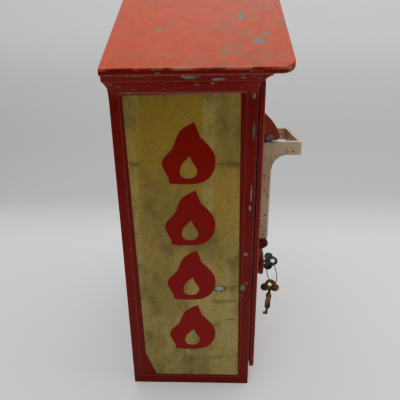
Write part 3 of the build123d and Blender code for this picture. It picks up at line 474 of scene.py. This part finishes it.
# ---------------------------------------------------------------- sign
TEAR_Y = -0.1075
TEAR_HEIGHT = 0.1360
CRACKS = [  # y from, y to, height above the floor, how far the line wanders
    (-0.1105, -0.1270, 0.1385, 0.0042),
    (-0.1150, -0.1265, 0.0945, 0.0036),
]
DIRTY_LINES = [  # height above the floor, strength, half width
    (0.279, 0.75, 0.006),
    (0.119, 0.55, 0.005),
    (0.038, 0.5, 0.008),
]


def sheet_colour(sheet, y, z, up, stains, grain):
    """The sign's ground: yellowed, darker towards the back, with streaks, mould and dirty lines."""
    back = sheet.band(y, SIGN_LOW.y, SIGN_HIGH.y)
    clouds = sheet.noise(26, 5, sheet.scaled(1, 1, 0.55))
    streaks = sheet.noise(60, 4, sheet.scaled(1, 1, 0.06))
    body = sheet.mix(up, (0.32, 0.255, 0.080), (0.30, 0.195, 0.022))
    shaded = sheet.mix(up, (0.26, 0.20, 0.065), (0.24, 0.15, 0.018))
    body = sheet.mix(sheet.both(back, 0.6), body, shaded)
    body = sheet.mix(sheet.both(sheet.band(streaks, 0.52, 0.70), 0.4), body, (0.42, 0.36, 0.15))
    body = sheet.mix(sheet.both(sheet.band(clouds, 0.44, 0.60), 0.65), body, (0.185, 0.135, 0.035))
    mould = sheet.both(sheet.band(clouds, 0.36, 0.56), sheet.band(stains, 0.45, 0.62))
    body = sheet.mix(sheet.both(mould, 0.6), body, (0.105, 0.085, 0.025))
    body = sheet.mix(sheet.both(sheet.band(grain, 0.48, 0.66), 0.5), body, (0.125, 0.10, 0.03))
    for level, strength, reach in DIRTY_LINES:
        near = sheet.band(sheet.maths("ABSOLUTE", sheet.maths("SUBTRACT", z, level)), reach, 0.0)
        patches = sheet.band(sheet.noise(85, 5, sheet.scaled(1, 0.5, 1.4)), 0.46, 0.62)
        dirty = sheet.both(sheet.both(near, patches), strength)
        body = sheet.mix(dirty, body, (0.075, 0.05, 0.018))
    return body


def mark_colour(sheet, up, stains):
    """The sign's red marks, a little darker in stains."""
    body = sheet.mix(up, (0.205, 0.002, 0.004), (0.185, 0.0, 0.0))
    return sheet.mix(sheet.both(sheet.band(stains, 0.56, 0.72), 0.3), body, (0.13, 0.002, 0.002))


def torn(sheet, body):
    """Adds the tear in the near sign, with its dirty rim."""
    place = (-SIGN_HIGH.x, TEAR_Y, FLOOR_Z + TEAR_HEIGHT)
    hole = sheet.spot(place, (0.004, 0.0048, 0.0028), 0.9)
    rim = sheet.spot(place, (0.004, 0.0080, 0.0042), 1.1)
    body = sheet.mix(sheet.both(rim, 0.75), body, (0.05, 0.035, 0.02))
    return sheet.mix(hole, body, (0.26, 0.25, 0.24))


def cracked(sheet, body, y, z):
    """Adds the fine cracks that run to the near sign's front edge."""
    near_side = sheet.band(sheet.axis("X"), 0.001, -0.001)
    for y_from, y_to, level, reach in CRACKS:
        wander = sheet.maths("MULTIPLY", sheet.maths("SUBTRACT", sheet.noise(150, 3), 0.5), reach)
        off = sheet.maths("ABSOLUTE", sheet.maths("SUBTRACT", sheet.maths("ADD", z, wander), level))
        line = sheet.band(off, 0.0007, 0.0002)
        span = sheet.both(sheet.band(y, y_to - 0.001, y_to), sheet.band(y, y_from + 0.001, y_from))
        crack = sheet.both(sheet.both(line, span), near_side)
        body = sheet.mix(crack, body, (0.07, 0.045, 0.02))
    return body


def sign_film(name, cell_tint, marks):
    """Reflective film: fine cells under a varnish that has yellowed and stained unevenly."""
    sheet = Finish(name, {"Specular IOR Level": 0.12})
    y = sheet.axis("Y")
    z = sheet.maths("SUBTRACT", sheet.axis("Z"), FLOOR_Z)
    up = sheet.band(z, 0.04, 0.34)
    stains = sheet.noise(48, 6, roughness=0.75)
    grain = sheet.noise(520, 3, roughness=0.7)
    cells = sheet.cells(620)
    if marks:
        body = mark_colour(sheet, up, stains)
        cell_strength = 0.05
    else:
        body = sheet_colour(sheet, y, z, up, stains, grain)
        cell_strength = 0.22
    lattice = sheet.both(sheet.band(cells, 0.25, 0.6), cell_strength)
    body = sheet.mix(lattice, body, dimmed(cell_tint, 0.45))
    body = cracked(sheet, torn(sheet, body), y, z)
    rim = sheet.edges(0.0008, 0.98, 0.9)
    body = sheet.mix(sheet.both(rim, 0.4), body, (0.12, 0.09, 0.05))
    sheet.colour(body)
    sheet.rough(sheet.maths("ADD", 0.33, sheet.both(stains, 0.3)))
    relief = sheet.maths("ADD", sheet.both(cells, 0.4), grain)
    sheet.normal(sheet.bump(relief, 0.18, 0.0002))
    return sheet.material


# ---------------------------------------------------------------- metals and the rest
def metal(name, clean, tarnish, share, rough):
    """A bare metal with tarnish in clouds, brushed scratches and rubbed edges."""
    piece = Finish(name, {"Metallic": 1.0})
    clouds = piece.noise(70, 5, roughness=0.7)
    pits = piece.noise(420, 4, roughness=0.7)
    lines = piece.noise(500, 3, piece.scaled(1, 0.06, 0.3))
    dirty = piece.band(clouds, 0.68 - 0.4 * share, 0.9 - 0.4 * share)
    body = piece.mix(dirty, clean, tarnish)
    body = piece.mix(piece.both(piece.band(pits, 0.55, 0.75), 0.6 * share + 0.1), body, tarnish)
    edge_mask = piece.edges(0.0006, 0.98, 0.88)
    bright = tuple(min(1.0, 1.35 * c + 0.02) for c in clean)
    body = piece.mix(piece.both(edge_mask, 0.55), body, bright)
    piece.colour(body)
    spread = piece.maths("MULTIPLY", piece.maths("ADD", lines, dirty), 0.2)
    piece.rough(piece.maths("ADD", rough, spread))
    pitted = piece.bump(pits, 0.2 * share + 0.03, 0.0003)
    piece.normal(piece.bump(lines, 0.12, 0.0002, pitted))
    return piece.material


METALS = {  # clean colour, tarnish, share of the surface that is tarnished, roughness
    "old_brass": ((0.42, 0.30, 0.13), (0.11, 0.085, 0.05), 0.8, 0.34),
    "bright_brass": ((0.75, 0.55, 0.24), (0.35, 0.23, 0.08), 0.3, 0.22),
    "steel": ((0.52, 0.52, 0.53), (0.22, 0.17, 0.12), 0.35, 0.3),
    "dark_steel": ((0.15, 0.15, 0.16), (0.07, 0.055, 0.045), 0.5, 0.36),
    "spring_steel": ((0.14, 0.19, 0.34), (0.10, 0.09, 0.12), 0.35, 0.26),
    "gong_steel": ((0.66, 0.63, 0.55), (0.34, 0.28, 0.19), 0.35, 0.17),
    "green_key": ((0.115, 0.105, 0.085), (0.036, 0.034, 0.028), 0.75, 0.42),
    "brown_key": ((0.200, 0.125, 0.062), (0.058, 0.034, 0.018), 0.75, 0.42),
}


def enamel():
    """Black crinkle enamel of the movement's case."""
    piece = Finish("case_enamel", {"Specular IOR Level": 0.5})
    wrinkles = piece.cells(420, "SMOOTH_F1")
    dust = piece.band(piece.noise(60, 5, roughness=0.7), 0.5, 0.75)
    body = piece.mix(piece.both(dust, 0.25), (0.018, 0.018, 0.02), (0.13, 0.12, 0.10))
    edge_mask = piece.both(piece.edges(0.0012, 0.98, 0.9), piece.band(piece.noise(150, 4), 0.5, 0.6))
    piece.colour(piece.mix(edge_mask, body, (0.22, 0.21, 0.20)))
    piece.rough(piece.maths("ADD", 0.33, piece.maths("MULTIPLY", dust, 0.3)))
    piece.normal(piece.bump(wrinkles, 0.35, 0.0006))
    return piece.material


def glass():
    """Thin clear window glass with a little dust."""
    piece = Finish("case_glass", {"Transmission Weight": 1.0, "IOR": 1.45})
    dust = piece.band(piece.noise(40, 6, roughness=0.8), 0.45, 0.8)
    piece.colour(piece.mix(dust, (0.93, 0.98, 0.95), (0.80, 0.80, 0.74)))
    piece.rough(piece.maths("MULTIPLY", dust, 0.22))
    return piece.material


def felt():
    """Grey felt with loose fibres."""
    piece = Finish("felt", {"Roughness": 0.95, "Sheen Weight": 0.35})
    fibres = piece.noise(900, 5, roughness=0.8)
    tufts = piece.noise(180, 4)
    piece.colour(piece.mix(piece.both(fibres, tufts), (0.045, 0.045, 0.042), (0.20, 0.19, 0.17)))
    piece.normal(piece.bump(fibres, 0.7, 0.0008))
    return piece.material


def fibre():
    """Vulcanised fibre board with its pressed grain."""
    piece = Finish("fibre")
    grain = piece.noise(260, 5, piece.scaled(0.3, 1, 1), 0.7)
    piece.colour(piece.mix(grain, (0.24, 0.045, 0.025), (0.12, 0.022, 0.015)))
    piece.rough(piece.maths("ADD", 0.42, piece.maths("MULTIPLY", grain, 0.2)))
    piece.normal(piece.bump(grain, 0.25, 0.0003))
    return piece.material


def copper():
    """Varnished winding wire."""
    piece = Finish("copper_coil", {"Metallic": 0.85, "Coat Weight": 0.5})
    tint = piece.noise(140, 4)
    piece.colour(piece.mix(tint, (0.42, 0.13, 0.045), (0.22, 0.055, 0.02)))
    piece.rough(piece.maths("ADD", 0.25, piece.maths("MULTIPLY", tint, 0.2)))
    piece.normal(piece.bump(piece.noise(600, 3), 0.15, 0.0002))
    return piece.material


def make_finishes():
    """Every material by its slot's name, and the special ones for single nodes."""
    made = {name: metal(name, *values) for name, values in METALS.items()}
    made["shell_paint"] = red_paint(
        "shell_paint", (0.132, 0.0002, 0.0001), (0.148, 0.004, 0.002), (0.35, 0.029, 0.004),
        chips=ROOF_CHIPS + MOULDING_CHIPS + WALL_CHIPS, wear=0.03,
    )
    made["door_paint"] = red_paint(
        "door_paint", (0.150, 0.003, 0.002), (0.180, 0.009, 0.006), (0.30, 0.034, 0.016),
        chips=[], wear=0.02,
    )
    # the hood's paint is a lighter, pinker copy of the door's: partly faded paint, partly painted
    # light
    made["hood_fade_and_light_paint"] = red_paint(
        "hood_fade_and_light_paint", (0.20, 0.028, 0.020), (0.26, 0.060, 0.045), (0.30, 0.060, 0.040),
        chips=[], wear=0.03,
    )
    # a near-black copy of the red paint for the escutcheon and the cover's pin: partly dark worn
    # paint, partly painted shade
    made["dark_worn_and_shaded_paint"] = red_paint(
        "dark_worn_and_shaded_paint", (0.045, 0.008, 0.006), (0.085, 0.018, 0.013), (0.14, 0.03, 0.02),
        chips=[], wear=0.06,
    )
    made["cover_paint"] = cream_paint()
    made["sign_sheet"] = sign_film("sign_sheet", (0.3, 0.25, 0.1), marks=False)
    made["sign_mark"] = sign_film("sign_mark", (0.2, 0.01, 0.01), marks=True)
    made["case_enamel"] = enamel()
    made["case_glass"] = glass()
    made["felt"] = felt()
    made["fibre"] = fibre()
    made["copper_coil"] = copper()
    return made


# CAD nodes that look different from the rest of their slot
SPECIAL = {
    "cover_pin": "dark_worn_and_shaded_paint",
    "hood_pin": "dark_steel",
    "cover_hood": "hood_fade_and_light_paint",
    "lock_escutcheon": "dark_worn_and_shaded_paint",
}


def dress_nodes(finishes):
    """Every CAD node shows the finish of its own slot, or its special one."""
    for name, node in NODES.items():
        for slot in node.material_slots:
            own = slot.material.name.split(".")[0]
            slot.material = finishes[SPECIAL.get(name, own)]


# ---------------------------------------------------------------- pieces
def show(name, mesh, body, slot, finish, *replaced):
    """Puts a finished mesh in the scene as a piece that rides on a body and stands for CAD nodes."""
    mesh.materials.clear()
    mesh.materials.append(finish)
    piece = bpy.data.objects.new(name, mesh)
    bpy.context.scene.collection.objects.link(piece)
    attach(piece, body)
    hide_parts(*replaced)
    return piece


def welded(node):
    """A copy of a CAD node's mesh, as a loose object with its corners joined up."""
    bm = bmesh.new()
    bm.from_mesh(NODES[node].data)
    bmesh.ops.remove_doubles(bm, verts=bm.verts, dist=1e-6)
    mesh = bpy.data.meshes.new(node + "_copy")
    bm.to_mesh(mesh)
    bm.free()
    part = bpy.data.objects.new(node + "_copy", mesh)
    bpy.context.scene.collection.objects.link(part)
    return part


def evaluated(obj):
    """A new mesh of an object with its modifiers applied."""
    graph = bpy.context.evaluated_depsgraph_get()
    return bpy.data.meshes.new_from_object(obj.evaluated_get(graph))


def fused(nodes):
    """One closed mesh made of touching CAD castings."""
    first, *others = [welded(node) for node in nodes]
    for other in others:
        union = first.modifiers.new("union", "BOOLEAN")
        union.operation = "UNION"
        union.solver = "EXACT"
        union.object = other
    mesh = evaluated(first)
    for part in (first, *others):
        bpy.data.objects.remove(part)
    return mesh


EASED_ANGLE = math.radians(40)  # edges sharper than this are rounded


def eased(piece, width):
    """Rounds a piece's sharp edges by width and keeps its faces flat."""
    bevel = piece.modifiers.new("eased", "BEVEL")
    bevel.width = width
    bevel.segments = 2
    bevel.limit_method = "ANGLE"
    bevel.angle_limit = EASED_ANGLE
    bevel.harden_normals = True


HOUSING = ("shell_left", "shell_right", "shell_base", "shell_back", "shell_front", "roof")


def make_housing(finish):
    """The six castings as one piece, with flat faces joined up and edges a little rounded."""
    mesh = fused(HOUSING)
    bm = bmesh.new()
    bm.from_mesh(mesh)
    bmesh.ops.remove_doubles(bm, verts=bm.verts, dist=2e-6)
    bmesh.ops.dissolve_limit(bm, angle_limit=math.radians(0.4), verts=bm.verts, edges=bm.edges)
    bm.to_mesh(mesh)
    bm.free()
    mesh.shade_smooth()
    mesh.set_sharp_from_angle(angle=math.radians(30))
    piece = show("housing", mesh, "box", "shell_paint", finish, *HOUSING)
    eased(piece, 0.0006)


LATHE_STEPS = 48


def lathe(bm, profile, centre, along):
    """Turns a closed outline of (distance along, radius) about an axis through centre."""
    side = Vector((0, 0, 1))
    other = Vector(along).cross(side)
    rings = []
    for step in range(LATHE_STEPS):
        turn = 2 * math.pi * step / LATHE_STEPS
        out = side * math.cos(turn) + other * math.sin(turn)
        rings.append([bm.verts.new(centre + Vector(along) * a + out * r) for a, r in profile])
    for step in range(LATHE_STEPS):
        here, there = rings[step], rings[(step + 1) % LATHE_STEPS]
        for k in range(len(profile)):
            after = (k + 1) % len(profile)
            bm.faces.new((here[k], here[after], there[after], there[k]))


def smooth_mesh(name, bm, angle=35):
    """A shaded mesh that keeps edges sharper than angle, in degrees."""
    mesh = bpy.data.meshes.new(name)
    bmesh.ops.recalc_face_normals(bm, faces=bm.faces)
    bm.to_mesh(mesh)
    bm.free()
    mesh.shade_smooth()
    mesh.set_sharp_from_angle(angle=math.radians(angle))
    return mesh


WIRE = 0.0007  # diameter of the windings' wire
BOBBIN_FLANGE = 0.0011  # thickness


def winding_profile(core, wound, turns):
    """A bobbin's winding as a closed outline with one rounded ridge for each turn of wire."""
    profile = [(BOBBIN_FLANGE, core)]
    for k in range(turns):
        start = BOBBIN_FLANGE + k * WIRE
        profile.append((start, wound - 0.35 * WIRE))
        profile.append((start + 0.25 * WIRE, wound - 0.05 * WIRE))
        profile.append((start + 0.5 * WIRE, wound))
        profile.append((start + 0.75 * WIRE, wound - 0.05 * WIRE))
    profile.append((BOBBIN_FLANGE + turns * WIRE, core))
    return profile


def flange_profile(core, radius, start):
    """A bobbin's flange as a closed outline with its outer corners taken off."""
    end = start + BOBBIN_FLANGE
    edge = 0.25 * BOBBIN_FLANGE
    return [
        (start, core), (start, radius - edge), (start + edge, radius),
        (end - edge, radius), (end, radius - edge), (end, core),
    ]


def make_windings(finishes):
    """Two bobbins, each a ridged winding between flanges, in the space of the CAD coils."""
    low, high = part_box("bell_coils")
    radius = (high.z - low.z) / 2
    length = high.x - low.x
    core = 0.3 * radius
    wound = 0.88 * radius
    turns = int((length - 2 * BOBBIN_FLANGE) / WIRE)
    winding = bmesh.new()
    flanges = bmesh.new()
    for y in (high.y - radius, low.y + radius):
        centre = Vector((low.x, y, (low.z + high.z) / 2))
        lathe(winding, winding_profile(core, wound, turns), centre, (1, 0, 0))
        for start in (0, length - BOBBIN_FLANGE):
            lathe(flanges, flange_profile(core, radius, start), centre, (1, 0, 0))
    show(
        "coil_windings", smooth_mesh("coil_windings", winding, 80), "box", "copper_coil",
        finishes["copper_coil"], "bell_coils",
    )
    show("coil_flanges", smooth_mesh("coil_flanges", flanges), "box", "fibre", finishes["fibre"])


SPRING_INNER = 0.0095  # radius of the spring's first turn
SPRING_THICK = 0.0006
SPRING_TURNS = 9
STEPS_PER_TURN = 60


def make_mainspring(finishes):
    """The spring as one strip wound in a spiral, in the space of the CAD rings."""
    low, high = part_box("mainspring")
    centre = (low + high) / 2
    outer = (high.x - low.x) / 2 - 0.0003
    steps = SPRING_TURNS * STEPS_PER_TURN
    bm = bmesh.new()
    before = None
    for step in range(steps + 1):
        turn = 2 * math.pi * step / STEPS_PER_TURN
        radius = SPRING_INNER + (outer - SPRING_INNER) * step / steps
        inside = radius - SPRING_THICK
        out = Vector((math.cos(turn), 0, math.sin(turn)))
        ring = []
        for r, y in ((radius, low.y), (radius, high.y), (inside, high.y), (inside, low.y)):
            ring.append(bm.verts.new(Vector((centre.x, y, centre.z)) + out * r))
        if before:
            for k in range(4):
                after = (k + 1) % 4
                bm.faces.new((before[k], before[after], ring[after], ring[k]))
        else:
            bm.faces.new(ring)
        before = ring
    bm.faces.new(before)
    show(
        "mainspring_strip", smooth_mesh("mainspring_strip", bm), "great_wheel", "spring_steel",
        finishes["spring_steel"], "mainspring",
    )


# CAD nodes whose sharp edges are rounded a little, and by how much
EASED = {
    "door": 0.0006,
    "door_rim": 0.0008,
    "pull_cover": 0.0007,
    "cover_hood": 0.0006,
    "cover_seat": 0.0004,
    "key": 0.00035,
    "spare_key": 0.00035,
    "movement_case": 0.0005,
    "case_bezel": 0.0005,
    "bell_crank": 0.0005,
}


def ease_nodes():
    """Rounds the edges of CAD nodes with modifiers, which leave their meshes as they are in
    model.glb.
    """
    for name, width in EASED.items():
        weld = NODES[name].modifiers.new("weld", "WELD")
        weld.merge_threshold = 2e-6
        eased(NODES[name], width)


make_camera()
make_light()
make_floor()
FINISHES = make_finishes()
dress_nodes(FINISHES)
ease_nodes()
make_housing(FINISHES["shell_paint"])
make_windings(FINISHES)
make_mainspring(FINISHES)
